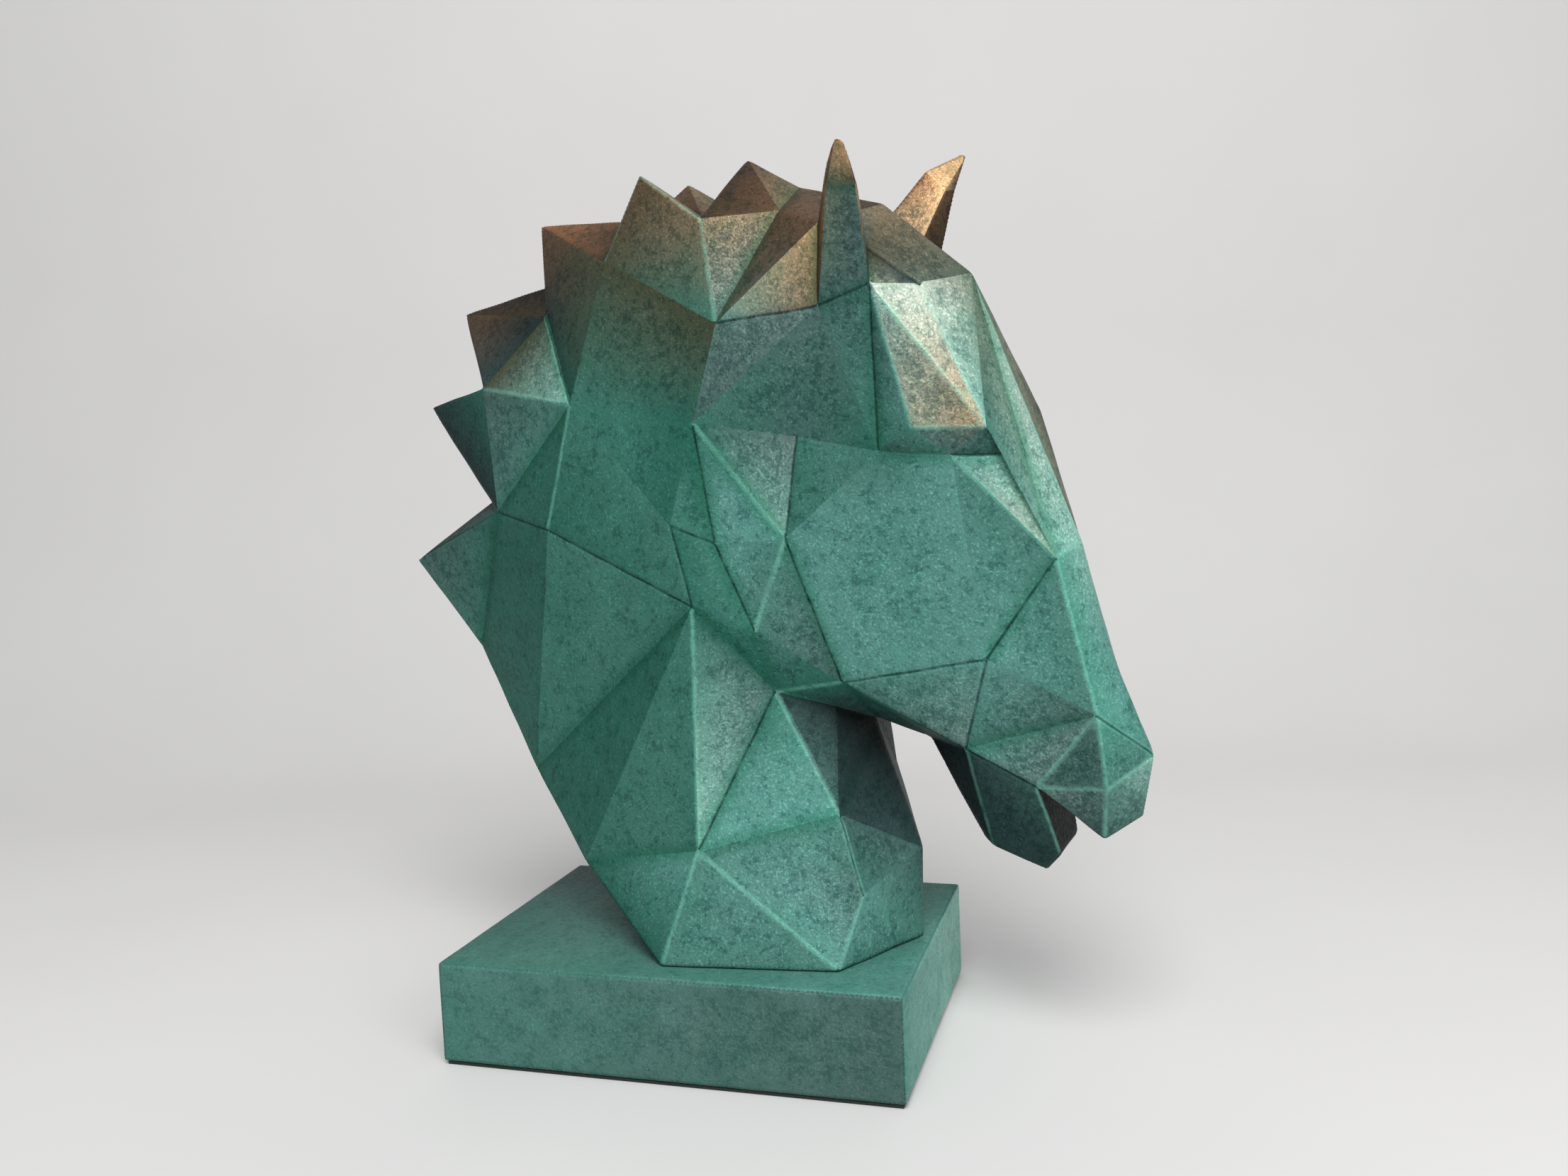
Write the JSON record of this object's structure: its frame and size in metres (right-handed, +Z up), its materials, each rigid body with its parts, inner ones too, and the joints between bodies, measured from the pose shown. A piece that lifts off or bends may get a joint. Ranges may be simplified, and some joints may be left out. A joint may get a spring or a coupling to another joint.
{
  "type": "horse head sculpture",
  "caption": "Faceted horse head bust with a toothed mane, turned slightly to one side, on a low rectangular plinth.",
  "frame": {"origin": "on the underside, below the middle of the plinth", "axes": "+X the way the horse looks, along the plinth's long side; +Z up; the horse's right side faces -Y"},
  "size_m": [0.3308, 0.1468, 0.3485],
  "materials": {
    "patina_paint": "coated card, verdigris paint with copper at the top",
    "plinth_paint": "coated card, sponged green paint",
    "dark_card": "matt dark card"
  },
  "bodies": {
    "root": {"bust": "patina_paint", "plinth": "plinth_paint", "bottom_sheet": "dark_card"}
  },
  "joints": []
}
